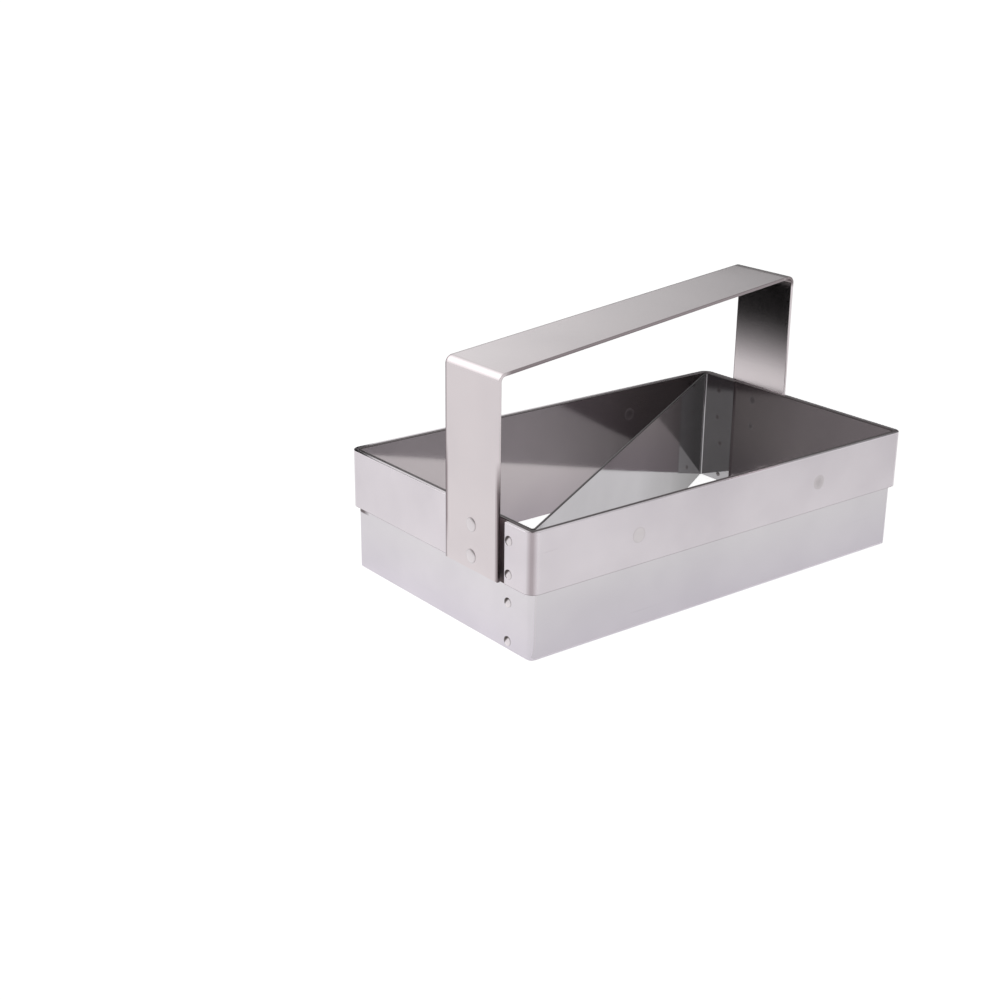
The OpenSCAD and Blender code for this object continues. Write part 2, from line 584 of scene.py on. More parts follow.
@dataclass(frozen=True)
class NodeBox:
    """The box of a CAD node."""

    low: Vector
    high: Vector

    @classmethod
    def of(cls, node: str) -> "NodeBox":
        """The box of the node of that name."""
        return cls(*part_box(node))

    @property
    def mid(self) -> Vector:
        """The box's middle."""
        return (self.low + self.high) / 2

    @property
    def span(self) -> Vector:
        """The box's sizes."""
        return self.high - self.low


class Piece:
    """Steps that every finished piece goes through."""

    sharp_angle = math.radians(50.0)
    weld = 0.001 * MM
    face_weight = 50

    @staticmethod
    def link(name: str, mesh: bpy.types.Mesh) -> bpy.types.Object:
        """A new object at the origin.

        Args:
            name: Its name.
            mesh: Its mesh.

        Returns:
            The object.
        """
        piece = bpy.data.objects.new(name, mesh)
        bpy.context.scene.collection.objects.link(piece)
        return piece

    @staticmethod
    def flat(name: str, size: tuple[float, float]) -> bpy.types.Mesh:
        """A flat rectangle round the origin.

        Args:
            name: Its name.
            size: Its width and depth.

        Returns:
            The mesh.
        """
        w, h = size[0] / 2, size[1] / 2
        mesh = bpy.data.meshes.new(name)
        mesh.from_pydata([(-w, -h, 0.0), (w, -h, 0.0), (w, h, 0.0), (-w, h, 0.0)], [], [(0, 1, 2, 3)])
        return mesh

    @staticmethod
    def settle(piece: bpy.types.Object) -> None:
        """Turns what the modifiers make into the piece's own plain mesh.

        Args:
            piece: The object.
        """
        graph = bpy.context.evaluated_depsgraph_get()
        made = bpy.data.meshes.new_from_object(
            piece.evaluated_get(graph), preserve_all_data_layers=True, depsgraph=graph
        )
        old = piece.data
        piece.modifiers.clear()
        piece.data = made
        made.name = piece.name
        bpy.data.meshes.remove(old)

    @classmethod
    def close(cls, piece: bpy.types.Object) -> None:
        """Joins the seams, turns every face outwards and evens the shading of flats and bends.

        Args:
            piece: The object.
        """
        shape = bmesh.new()
        shape.from_mesh(piece.data)
        bmesh.ops.remove_doubles(shape, verts=shape.verts, dist=cls.weld)
        bmesh.ops.recalc_face_normals(shape, faces=shape.faces)
        for face in shape.faces:
            face.smooth = True
        for edge in shape.edges:
            edge.smooth = edge.calc_face_angle(0.0) < cls.sharp_angle
        shape.to_mesh(piece.data)
        shape.free()
        even = piece.modifiers.new("even_shading", "WEIGHTED_NORMAL")
        even.mode = "FACE_AREA"
        even.weight = cls.face_weight
        even.keep_sharp = True
        cls.settle(piece)

    @staticmethod
    def seat(piece: bpy.types.Object, slot: str, nodes: Iterable[str]) -> None:
        """Puts a finished piece in the place of its CAD nodes.

        Args:
            piece: The object.
            slot: The record's material slot. Not used.
            nodes: The CAD nodes that it stands for.
        """
        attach(piece, BODY)
        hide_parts(*nodes)
        log.info("%s: %d faces", piece.name, len(piece.data.polygons))


class GeometryTree(Bench):
    """A geometry tree with named inputs."""

    def __init__(self, name: str, inputs: dict[str, str]) -> None:
        """Makes the tree.

        Args:
            name: The tree's name.
            inputs: The socket type of each named input.
        """
        super().__init__(bpy.data.node_groups.new(name, "GeometryNodeTree"))
        face = self.tree.interface
        face.new_socket("Geometry", in_out="INPUT", socket_type="NodeSocketGeometry")
        self.keys = {
            label: face.new_socket(label, in_out="INPUT", socket_type=kind).identifier
            for label, kind in inputs.items()
        }
        face.new_socket("Geometry", in_out="OUTPUT", socket_type="NodeSocketGeometry")
        self.entry = self.add("NodeGroupInput")

    def given(self, label: str) -> Sock:
        """A named input."""
        return self.entry.out(label)

    def end(self, geometry: Sock) -> None:
        """Ends the tree in plain geometry with its material.

        Args:
            geometry: What the tree has made.
        """
        real = self.add("GeometryNodeRealizeInstances", sockets={"Geometry": geometry})
        sockets = {"Geometry": real, "Material": self.given("Steel")}
        dressed = self.add("GeometryNodeSetMaterial", sockets=sockets)
        self.add("NodeGroupOutput", sockets={0: dressed})

    def run(self, piece: bpy.types.Object, values: dict[str, Any]) -> None:
        """Runs the tree on an object and keeps the result as its mesh.

        Args:
            piece: The object.
            values: The value of each named input.
        """
        step = piece.modifiers.new(self.tree.name, "NODES")
        step.node_group = self.tree
        for label, value in values.items():
            step[self.keys[label]] = value
        Piece.settle(piece)


class StripTree(GeometryTree):
    """A strip of sheet that stands on its edge along a path, with rounded bends and broken edges."""

    bend_steps = 40
    edge_steps = 4

    def __init__(self) -> None:
        """Builds the tree."""
        number = "NodeSocketFloat"
        inputs = {label: number for label in ("Thickness", "Height", "Base", "Bend Radius", "Edge Radius")}
        super().__init__("strip_on_edge", {**inputs, "Steel": "NodeSocketMaterial"})
        path = self.add("GeometryNodeMeshToCurve", sockets={"Mesh": self.given("Geometry")})
        path = self._rounded(path, "Bend Radius", self.bend_steps)
        path = self.add("GeometryNodeSetCurveNormal", {"mode": "Z_UP"}, {"Curve": path})
        section = self.add(
            "GeometryNodeCurvePrimitiveQuadrilateral",
            {"mode": "RECTANGLE"},
            {"Width": self.given("Thickness"), "Height": self.given("Height")},
        )
        section = self._rounded(section, "Edge Radius", self.edge_steps)
        strip = self.add(
            "GeometryNodeCurveToMesh",
            sockets={"Curve": path, "Profile Curve": section, "Fill Caps": True},
        )
        middle = self.given("Base") + self.given("Height") * 0.5
        lift = self.add("ShaderNodeCombineXYZ", sockets={"Z": middle})
        self.end(self.add("GeometryNodeTransform", sockets={"Geometry": strip, "Translation": lift}))

    def _rounded(self, curve: Sock, radius: str, steps: int) -> Sock:
        """A curve with round corners.

        Args:
            curve: The curve.
            radius: The name of the input with the radius.
            steps: How many steps a corner has.

        Returns:
            The rounded curve.
        """
        sockets = {"Curve": curve, "Count": steps, "Radius": self.given(radius), "Limit Radius": True}
        return self.add("GeometryNodeFilletCurve", {"mode": "POLY"}, sockets)


class RivetTree(GeometryTree):
    """Rivets at points: a low head outside, a ground end inside, both with faint hammer marks."""

    round_steps = 48
    crown_steps = 12
    groove_place = 0.88
    ring_place = 0.95
    ring_width = 0.1
    side_dark_fade = 0.3
    hammer_scale = 620.0

    def __init__(self) -> None:
        """Builds the tree."""
        number = "NodeSocketFloat"
        labels = (
            "Head Diameter",
            "Head Rise",
            "Head Lip",
            "Dome Power",
            "Groove",
            "End Diameter",
            "End Rise",
            "Hammer Depth",
            "Seed",
            "Soil",
            "Side Dark Edge",
            "Ring",
        )
        super().__init__("rivets", {**{label: number for label in labels}, "Steel": "NodeSocketMaterial"})
        facing = self._attribute("facing", "FLOAT_VECTOR")
        outside = self._attribute("outside", "BOOLEAN")
        turn = self.add("FunctionNodeAlignRotationToVector", {"axis": "Z"}, {"Vector": facing})
        head = self._button("Head Diameter", "Head Rise", "Head Lip", "Groove")
        end = self._button("End Diameter", "End Rise", "End Rise", None)
        points = self.given("Geometry")
        inside = self.add("FunctionNodeBooleanMath", {"operation": "NOT"}, {0: outside})
        rows = [
            self.add(
                "GeometryNodeInstanceOnPoints",
                sockets={"Points": points, "Selection": chosen, "Instance": button, "Rotation": turn},
            )
            for chosen, button in ((outside, head), (inside, end))
        ]
        both = self.add("GeometryNodeJoinGeometry", sockets={"Geometry": rows})
        real = self.add("GeometryNodeRealizeInstances", sockets={"Geometry": both})
        self.end(self._hammered(self._darkened(real), facing))

    def _attribute(self, name: str, kind: str) -> Sock:
        """A value that the points carry.

        Args:
            name: The value's name.
            kind: Its data type.

        Returns:
            The value.
        """
        return self.add("GeometryNodeInputNamedAttribute", {"data_type": kind}, {"Name": name})

    def _button(self, across: str, rise: str, edge: str, groove: str | None) -> Sock:
        """One rivet end: a shallow button that looks along +Z, with its seat at the origin.

        Args:
            across: The name of the input with its diameter.
            rise: The name of the input with the height of its crown.
            edge: The name of the input with the height of its edge.
            groove: The name of the input with the depth of the ring round it, if it has one.

        Returns:
            The button.
        """
        radius = self.given(across) * 0.5
        lip = self.given(edge)
        blank = self.add(
            "GeometryNodeMeshCylinder",
            {"fill_type": "TRIANGLE_FAN"},
            {
                "Vertices": self.round_steps,
                "Side Segments": 1,
                "Fill Segments": self.crown_steps,
                "Radius": radius,
                "Depth": lip * 2,
            },
        )
        place = self.add("GeometryNodeInputPosition")
        parts = self.add("ShaderNodeSeparateXYZ", sockets={"Vector": place})
        out = ((parts.out("X") ** 2 + parts.out("Y") ** 2) ** 0.5 / radius).at_most(1.0)
        crown = (self.given(rise) - lip) * (1 - out ** self.given("Dome Power"))
        if groove is not None:
            ring = (1 - abs(out - self.groove_place) / self.ring_width).at_least(0.0)
            crown = crown - ring * self.given(groove)
        lift = self.add("ShaderNodeCombineXYZ", sockets={"Z": crown * parts.out("Z").above(0.0)})
        return self.add("GeometryNodeSetPosition", sockets={"Geometry": blank, "Offset": lift})

    def _darkened(self, rivets: Sock) -> Sock:
        """Rivets that carry their tarnish and painted shade: a spot, painted shade on the inner ends, a
        darker side on each head, and a ring round it.

        Args:
            rivets: The rivets.

        Returns:
            The same rivets.
        """
        place = self.add("GeometryNodeInputPosition")
        seat = self._attribute("seat", "FLOAT_VECTOR")
        radius = self.given("Head Diameter") * 0.5
        off = self.add("ShaderNodeVectorMath", {"operation": "SUBTRACT"}, {0: place, 1: seat})
        reach = self.add("ShaderNodeVectorMath", {"operation": "LENGTH"}, {0: off}).out("Value") / radius
        # darker on one side of the head
        side = self.along(off, self._attribute("soil", "FLOAT_VECTOR")) / radius
        soil = ((side - self.given("Side Dark Edge")) / self.side_dark_fade).at_least(0.0).at_most(1.0)
        ring = (1 - abs(reach - self.ring_place) / self.ring_width).at_least(0.0) * self.given("Ring")
        spot = self._attribute("tarnish", "FLOAT") * (1 - reach**2).at_least(0.0)
        total = (spot + soil * self.given("Soil") + ring).at_most(1.0)
        settings = {"data_type": "FLOAT", "domain": "POINT"}
        sockets = {"Geometry": rivets, "Name": "tarnish", "Value": total}
        return self.add("GeometryNodeStoreNamedAttribute", settings, sockets)

    def _hammered(self, rivets: Sock, facing: Sock) -> Sock:
        """Rivets with uneven crowns.

        Args:
            rivets: The rivets.
            facing: The direction that each looks in.

        Returns:
            The uneven rivets.
        """
        place = self.add("GeometryNodeInputPosition")
        noise = self.add(
            "ShaderNodeTexNoise",
            {"noise_dimensions": "4D"},
            {"Vector": place, "W": self.given("Seed"), "Scale": self.hammer_scale, "Detail": 1.0},
        )
        depth = (noise - 0.5) * self.given("Hammer Depth")
        push = self.add("ShaderNodeVectorMath", {"operation": "SCALE"}, {0: facing, "Scale": depth})
        return self.add("GeometryNodeSetPosition", sockets={"Geometry": rivets, "Offset": push})


@dataclass
class CutterFrame:
    """The cutting band, the stiffening band round its upper half, and the blade across it."""

    cut: NodeBox = field(default_factory=lambda: NodeBox.of("cutting_band"))
    band: NodeBox = field(default_factory=lambda: NodeBox.of("reinforcing_band"))
    blade: NodeBox = field(default_factory=lambda: NodeBox.of("diagonal_blade"))
    leg: NodeBox = field(default_factory=lambda: NodeBox.of("strap_handle"))
    # bends, slit and folds of the sheets
    cut_corner: float = 2.0 * MM
    band_corner: float = 3.5 * MM
    slit_width: float = 2.4 * MM
    slit_under: float = 5.0 * MM
    blade_sheet: float = 0.9 * MM
    blade_fold: float = 1.05 * MM
    tab_length: float = 19.5 * MM
    edge_radius: float = 0.2 * MM
    # where edges and bends have other tones, and where shade is painted: partly on the rim, along the band's
    # foot, in the slit, under the band at a corner, and inside
    # the rims' dark tone: partly the duller cut edge, partly painted dark reflection
    dark_rim_and_reflection: Colour = (0.17, 0.155, 0.155)
    rim_depth: float = 0.35 * MM
    rim_inset: float = 1.2 * MM
    rim_fade: float = 0.3 * MM
    foot_depth: float = 0.25 * MM
    band_foot_shadow_depth: float = 0.3 * MM
    skin: float = 0.2 * MM
    tab_depth: float = 1.2 * MM
    tab_edge_width: float = 0.25 * MM
    slit_skin: float = 0.3 * MM
    slit_margin: float = 0.05 * MM
    slit_drop: float = 1.2 * MM
    slit_shade_height: float = 9.0 * MM
    slit_fade: float = 8.0 * MM
    corner_shadow_skin: float = 0.7 * MM
    corner_shadow_drop: float = 2.8 * MM
    corner_shadow_edge: float = 0.5 * MM
    corner_shadow_reach: float = 8.5 * MM
    corner_shadow_fade: float = 4.0 * MM
    bend_reach: float = 3.2 * MM
    bend_fade: float = 1.6 * MM
    far_shade_start: float = 5.0 * MM
    far_shade_fade: float = 50.0 * MM
    far_blade_shade_start: float = 50.0 * MM
    far_blade_shade_fade: float = 35.0 * MM
    # how far faces lean down and aside, in degrees
    tab_lean: tuple[float, float] = (1.3, 3.0)
    wall_lean: tuple[float, float] = (4.05, -9.0)
    end_curl: float = 7.0
    blade_right_lean: tuple[float, float] = (2.02, -6.25)
    blade_left_lean: tuple[float, float] = (3.70, 0.39)
    tree: StripTree = field(default_factory=StripTree)

    @property
    def cut_sheet(self) -> float:
        """The thickness of the cutting band, between its outside and the blade's tabs."""
        return self.blade.low.x - self.cut.low.x

    @property
    def band_sheet(self) -> float:
        """The thickness of the stiffening band, outside the cutting band."""
        return self.cut.low.x - self.band.low.x

    @staticmethod
    def _path(points: Sequence[tuple[float, float]], closed: bool) -> bpy.types.Mesh:
        """A path on the floor plane.

        Args:
            points: Its points.
            closed: Whether it goes back to its first point.

        Returns:
            A mesh of edges.
        """
        mesh = bpy.data.meshes.new("path")
        count = len(points)
        edges = [(i, (i + 1) % count) for i in range(count if closed else count - 1)]
        mesh.from_pydata([(x, y, 0.0) for x, y in points], edges, [])
        return mesh

    def _strip(
        self,
        name: str,
        node: str,
        path: bpy.types.Mesh,
        sheet: float,
        bend: float,
        finish: SteelFinish,
    ) -> None:
        """One strip along a path, in the place of its CAD node.

        Args:
            name: The piece's name.
            node: The CAD node's name.
            path: The path of its middle line.
            sheet: Its thickness.
            bend: The radius of its middle line at the bends.
            finish: Its finish.
        """
        piece = Piece.link(name, path)
        box = NodeBox.of(node)
        values = {
            "Thickness": sheet,
            "Height": box.span.z,
            "Base": box.low.z,
            "Bend Radius": bend,
            "Edge Radius": self.edge_radius,
            "Steel": finish.material(),
        }
        self.tree.run(piece, values)
        Piece.close(piece)
        Piece.seat(piece, finish.slot, [node])

    def build_cutting_band(self, finish: SteelFinish) -> None:
        """The closed band that cuts the outline.

        Args:
            finish: Its finish.
        """
        sheet = self.cut_sheet
        x = self.cut.high.x - sheet / 2
        y = self.cut.high.y - sheet / 2
        path = self._path([(x, -y), (x, y), (-x, y), (-x, -y)], True)
        self._strip("cutting_band_sheet", "cutting_band", path, sheet, self.cut_corner, finish)

    def build_stiffening_band(self, finish: SteelFinish) -> None:
        """The open band round the upper half, with a slit beside the near leg.

        Args:
            finish: Its finish.
        """
        sheet = self.band_sheet
        x = self.band.high.x - sheet / 2
        y = self.band.high.y - sheet / 2
        start = (-x, self.leg.low.y + self.slit_under)
        stop = (-x, self.leg.low.y - self.slit_width)
        path = self._path([start, (-x, y), (x, y), (x, -y), (-x, -y), stop], False)
        self._strip("stiffening_band_strip", "reinforcing_band", path, sheet, self.band_corner, finish)

    def build_blade(self, finish: SteelFinish) -> None:
        """The blade from corner to corner, with a tab folded along each end wall.

        Args:
            finish: Its finish.
        """
        sheet = self.blade_sheet
        x = self.blade.high.x - sheet / 2
        y = self.blade.high.y * x / self.blade.high.x
        tab = self.blade.high.y - self.tab_length
        path = self._path([(-x, -tab), (-x, -y), (x, y), (x, tab)], False)
        self._strip("diagonal_blade_sheet", "diagonal_blade", path, sheet, self.blade_fold, finish)

    def _edges(self) -> tuple[Zone, Zone]:
        """The cut edges along the tops and the feet of the cutting band and the blade, the tops darkened
        partly as painted dark reflection.
        """
        rim = Zone(self.dark_rim_and_reflection, rough=0.25, z=(self.band.high.z - self.rim_depth, None))
        return rim, Zone((0.55, 0.53, 0.53), rough=0.2, z=(None, self.cut.low.z + self.foot_depth))

    def _inside(self, past: float, tint: Colour = (1.0, 1.0, 1.0)) -> Zone:
        """The space between the walls.

        Args:
            past: How far it goes past the blade's ends.
            tint: Its tone.

        Returns:
            The zone.
        """
        x = (None, self.blade.high.x + past)
        y = (None, self.blade.high.y + self.skin)
        return Zone(tint, x=x, y=y, mirrored=True)

    def _shade(self) -> tuple[Zone, Zone, Zone]:
        """Light lost between the walls.

        Returns:
            The painted shade of the whole inside, of its end walls, and of its far part.
        """
        inside_shade = self._inside(self.skin, (0.58, 0.545, 0.535))
        at_end = (self.blade.high.x - self.tab_depth, None)
        ends = Zone((0.90, 0.90, 0.895), x=at_end, mirrored=True, within=inside_shade)
        between = self._inside(-self.tab_depth)
        far_shade = Zone((0.74, 0.74, 0.73), x=(self.far_shade_start, None), soft=self.far_shade_fade, within=between)
        return inside_shade, ends, far_shade

    def cutting_zones(self) -> tuple[Zone, ...]:
        """The tones of the cutting band: its edges, painted shade inside and in the slit, a darker foot, and
        a painted shadow under the band at a corner.

        Returns:
            The zones.
        """
        # darker and bluer towards the foot, and a little rougher
        darker_to_foot = Zone((0.865, 0.85, 0.89), rough=0.03, z=(None, self.band.low.z), soft=self.band.low.z)
        # painted shade in the slit beside the near leg, darkest towards its foot
        slit = Zone(
            (0.80, 0.71, 0.71),
            rough=0.5,
            x=(None, self.cut.low.x + self.slit_skin),
            y=(self.leg.low.y - self.slit_width - self.slit_margin, self.leg.low.y + self.slit_under),
            z=(self.band.low.z - self.slit_drop, None),
        )
        slit_shaded = (None, self.band.low.z + self.slit_shade_height)
        slit_foot = Zone((0.18, 0.16, 0.16), z=slit_shaded, soft=self.slit_fade, within=slit)
        # painted shadow under the band at the corner
        under = Zone(
            x=(None, self.cut.low.x + self.corner_shadow_skin),
            z=(self.band.low.z - self.corner_shadow_drop, None),
            soft=self.corner_shadow_edge,
        )
        corner = (self.cut.high.y - self.corner_shadow_reach, None)
        stain_and_shade = Zone((0.24, 0.21, 0.21), rough=0.3, y=corner, soft=self.corner_shadow_fade, within=under)
        return *self._edges(), *self._shade(), darker_to_foot, slit, slit_foot, stain_and_shade

    def band_zones(self) -> tuple[Zone, ...]:
        """The tones of the stiffening band: its rim, partly painted dark reflection, a painted shadow line
        along its foot, and its bends.

        Returns:
            The zones.
        """
        rim = Zone(
            self.dark_rim_and_reflection,
            rough=0.25,
            x=(None, self.band.high.x - self.rim_inset),
            y=(None, self.band.high.y - self.rim_inset),
            z=(self.band.high.z - self.rim_depth, None),
            soft=self.rim_fade,
            mirrored=True,
        )
        # painted shadow line along the band's foot
        foot = Zone((0.45, 0.42, 0.42), rough=0.2, z=(None, self.band.low.z + self.band_foot_shadow_depth))
        bends = Zone(
            (0.60, 0.56, 0.565),
            rough=0.10,
            x=(self.band.high.x - self.bend_reach, None),
            y=(self.band.high.y - self.bend_reach, None),
            soft=self.bend_fade,
            mirrored=True,
        )
        return rim, foot, bends

    def blade_zones(self) -> tuple[Zone, ...]:
        """The tones of the blade: its edges, its tabs, and painted shade at its ends that deepens towards its
        far part.

        Returns:
            The zones.
        """
        between = self._inside(-self.tab_depth)
        # painted shade, deeper on the far part of the blade
        far_blade_shade = Zone((0.62, 0.62, 0.61), x=(self.far_blade_shade_start, None), soft=self.far_blade_shade_fade, within=between)
        tab_edge = Zone(
            (0.40, 0.38, 0.38),
            rough=0.1,
            x=(self.blade.high.x - self.tab_depth, None),
            y=(None, self.blade.high.y - self.tab_length + self.tab_edge_width),
            mirrored=True,
        )
        _, ends, far_shade = self._shade()
        return *self._edges(), ends, far_shade, far_blade_shade, tab_edge

    def _tab_leans(self) -> tuple[Lean, ...]:
        """How the tabs lean. What looks into the frame looks the way the opposite wall's outside does."""
        return tuple(Lean(wall.value, *self.tab_lean) for wall in (Wall.NEAR_END, Wall.FAR_END))

    def wall_leans(self) -> tuple[Lean, ...]:
        """How the inner faces of the walls lean, the end walls with a curl at the foot."""
        long_walls = [Lean(wall.value, *self.wall_lean) for wall in (Wall.FRONT, Wall.BACK)]
        return *long_walls, *(replace(lean, curl=self.end_curl) for lean in self._tab_leans())

    def blade_leans(self) -> tuple[Lean, ...]:
        """How the blade's two faces and its tabs lean.

        Returns:
            The leans.
        """
        across = Vector((self.blade.high.y, -self.blade.high.x, 0.0)).normalized()
        right = Lean(tuple(across), *self.blade_right_lean, inward=False)
        left = Lean(tuple(-across), *self.blade_left_lean, inward=False)
        return right, left, *self._tab_leans()


@dataclass
class StrapHandle:
    """The flat strap, bent twice, whose bar runs aslant from one leg to the other."""

    box: NodeBox = field(default_factory=lambda: NodeBox.of("strap_handle"))
    wall: NodeBox = field(default_factory=lambda: NodeBox.of("reinforcing_band"))
    leg_width: float = 31.9 * MM
    inner_bend: float = 2.0 * MM
    edge_radius: float = 0.3 * MM
    edge_mark: float = 0.3 * MM
    edge_steps: int = 4
    bend_steps: int = 28
    # where sides and edges carry painted shade, and the far bend a painted dark reflection
    dark_side: Colour = (0.38, 0.35, 0.36)
    edge_shade: Colour = (0.66, 0.63, 0.64)
    edge_spill: float = 0.7 * MM
    side_spill: float = 1.0 * MM
    side_fade: float = 0.3 * MM
    left_spill: float = 1.3 * MM
    left_fade: float = 0.6 * MM
    left_span: Span = (6.0 * MM, 46.0 * MM)
    left_ends: float = 10.0 * MM
    near_span: Span = (None, 46.0 * MM)
    near_ends: float = 12.0 * MM
    bar_lead: float = 2.0 * MM
    bar_ends: float = 5.0 * MM
    bend_shade_before: float = 4.0 * MM
    bend_shade_after: float = 6.0 * MM
    bend_shade_ends: float = 2.0 * MM
    # how far the legs lean, in degrees
    leg_lean: float = -10.5

    @property
    def sheet(self) -> float:
        """The strap's thickness, outside the end wall."""
        return self.wall.low.x - self.box.low.x

    @property
    def sway(self) -> float:
        """How far the middle of each leg is from the frame's middle line."""
        return self.box.high.y - self.leg_width / 2

    def side_spans(self) -> tuple[Span, ...]:
        """Where the strap's narrow sides and edges are, measured round its section.

        Returns:
            The spans of the two sides, the second of which goes on past the start.
        """
        arc = math.pi / 2 * self.edge_radius
        face = self.leg_width - 2 * self.edge_radius
        side = self.sheet - 2 * self.edge_radius + 2 * arc
        first = arc + face
        second = first + side + face
        mark = self.edge_mark
        return (first - mark, first + side + mark), (second - mark, None), (None, arc + mark)

    @property
    def bend(self) -> float:
        """The bend radius of the strap's middle line."""
        return self.inner_bend + self.sheet / 2

    def bar_span(self) -> Span:
        """Where the bar between the bends is, measured along the strap.

        Returns:
            Its start and its end.
        """
        run = self.box.span.z - self.sheet / 2 - self.bend
        start = run + math.pi / 2 * self.bend
        reach = self.box.span.x / 2 - self.sheet / 2 - self.bend
        return start, start + 2 * math.hypot(reach, self.sway)

    def zones(self) -> tuple[Zone, ...]:
        """The tones of the strap: painted shade on its narrow sides and along its edges, and a painted dark
        reflection at the far bend.

        Returns:
            The zones, in places along the strap and round its section.
        """
        front, back, back_start = self.side_spans()
        bar_start, bar_end = self.bar_span()
        bar = (bar_start - self.bar_lead, bar_end)
        mark = (bar_end - self.bend_shade_before, bar_end + self.bend_shade_after)
        side = Zone(y=front)
        wide_side = Zone(y=(front[0] - self.side_spill, front[1]), soft=self.side_fade)
        left_edge = Zone(y=(None, back_start[1] + self.left_spill), soft=self.left_fade)
        thin_edge = (None, back_start[1] + self.edge_spill)
        return (
            # painted shade: darker narrow sides, and darker strips along the left edge and the near leg's
            # sides
            Zone(self.dark_side, rough=0.1, x=bar, soft=self.bar_ends, within=side),
            Zone(self.dark_side, rough=0.1, y=back),
            Zone(self.dark_side, rough=0.1, y=back_start),
            Zone(self.edge_shade, rough=0.05, y=thin_edge, soft=self.edge_spill),
            Zone((0.62, 0.59, 0.60), rough=0.05, x=self.left_span, soft=self.left_ends, within=left_edge),
            Zone(self.edge_shade, rough=0.05, x=self.near_span, soft=self.near_ends, within=wide_side),
            Zone((0.42, 0.40, 0.40), rough=0.1, x=self.near_span, soft=self.near_ends, within=side),
            # painted dark reflection at the far bend
            Zone((0.36, 0.34, 0.34), rough=0.05, x=mark, soft=self.bend_shade_ends),
        )

    def leans(self) -> tuple[Lean, ...]:
        """How the inner faces of the legs lean."""
        return tuple(Lean(wall.value, self.leg_lean) for wall in (Wall.NEAR_END, Wall.FAR_END))

    def _stations(self) -> list[tuple[Vector, Vector]]:
        """The strap's middle line.

        Returns:
            Points along it, each with the outward direction there.
        """
        radius = self.bend
        x = self.box.high.x - self.sheet / 2
        bend_x = x - radius
        bend_z = self.box.high.z - self.sheet / 2 - radius
        side: list[tuple[Vector, Vector]] = []
        for z in (self.box.low.z, self.wall.high.z, bend_z):
            side.append((Vector((-x, -self.sway, z)), Vector((-1.0, 0.0, 0.0))))
        for step in range(1, self.bend_steps + 1):
            turn = math.pi / 2 * step / self.bend_steps
            out = Vector((-math.cos(turn), 0.0, math.sin(turn)))
            centre = Vector((-bend_x, -self.sway, bend_z))
            side.append((centre + out * radius, out))
        other = [(Vector((-p.x, -p.y, p.z)), Vector((-n.x, -n.y, n.z))) for p, n in reversed(side)]
        return side + other

    def _section(self) -> list[tuple[float, float]]:
        """The strap's section with its broken edges.

        Returns:
            Places across the strap and through it, in order round the section.
        """
        half_w = self.leg_width / 2 - self.edge_radius
        half_t = self.sheet / 2 - self.edge_radius
        ring: list[tuple[float, float]] = []
        for quarter, (sw, st) in enumerate(((1, 1), (-1, 1), (-1, -1), (1, -1))):
            for step in range(self.edge_steps + 1):
                turn = math.pi / 2 * (quarter + step / self.edge_steps)
                across = sw * half_w + self.edge_radius * math.cos(turn)
                through = st * half_t + self.edge_radius * math.sin(turn)
                ring.append((across, through))
        return ring

    def build(self, finish: SteelFinish) -> None:
        """The strap.

        Args:
            finish: Its finish.
        """
        stations = self._stations()
        ring = self._section()
        shape = bmesh.new()
        layer = shape.loops.layers.uv.new("run")
        rows = [
            [shape.verts.new(p + n * t + Vector((0.0, a, 0.0))) for a, t in ring] for p, n in stations
        ]
        along = [0.0]
        for (p, _), (q, _) in zip(stations, stations[1:]):
            along.append(along[-1] + (q - p).length)
        round_it = [0.0]
        for first, second in zip(ring, ring[1:] + ring[:1]):
            round_it.append(round_it[-1] + math.dist(first, second))
        for i, (row, after) in enumerate(zip(rows, rows[1:])):
            for j in range(len(ring)):
                k = (j + 1) % len(ring)
                face = shape.faces.new((row[j], row[k], after[k], after[j]))
                marks = ((i, j), (i, j + 1), (i + 1, j + 1), (i + 1, j))
                for loop, (u, v) in zip(face.loops, marks):
                    loop[layer].uv = (along[u], round_it[v])
        for row, place in ((rows[0], 0.0), (rows[-1], along[-1])):
            face = shape.faces.new(row)
            for loop, (across, through) in zip(face.loops, ring):
                loop[layer].uv = (place + through, across)
        mesh = bpy.data.meshes.new("strap")
        shape.to_mesh(mesh)
        shape.free()
        mesh.materials.append(finish.material())
        piece = Piece.link("strap_handle_strip", mesh)
        Piece.close(piece)
        Piece.seat(piece, finish.slot, ["strap_handle"])


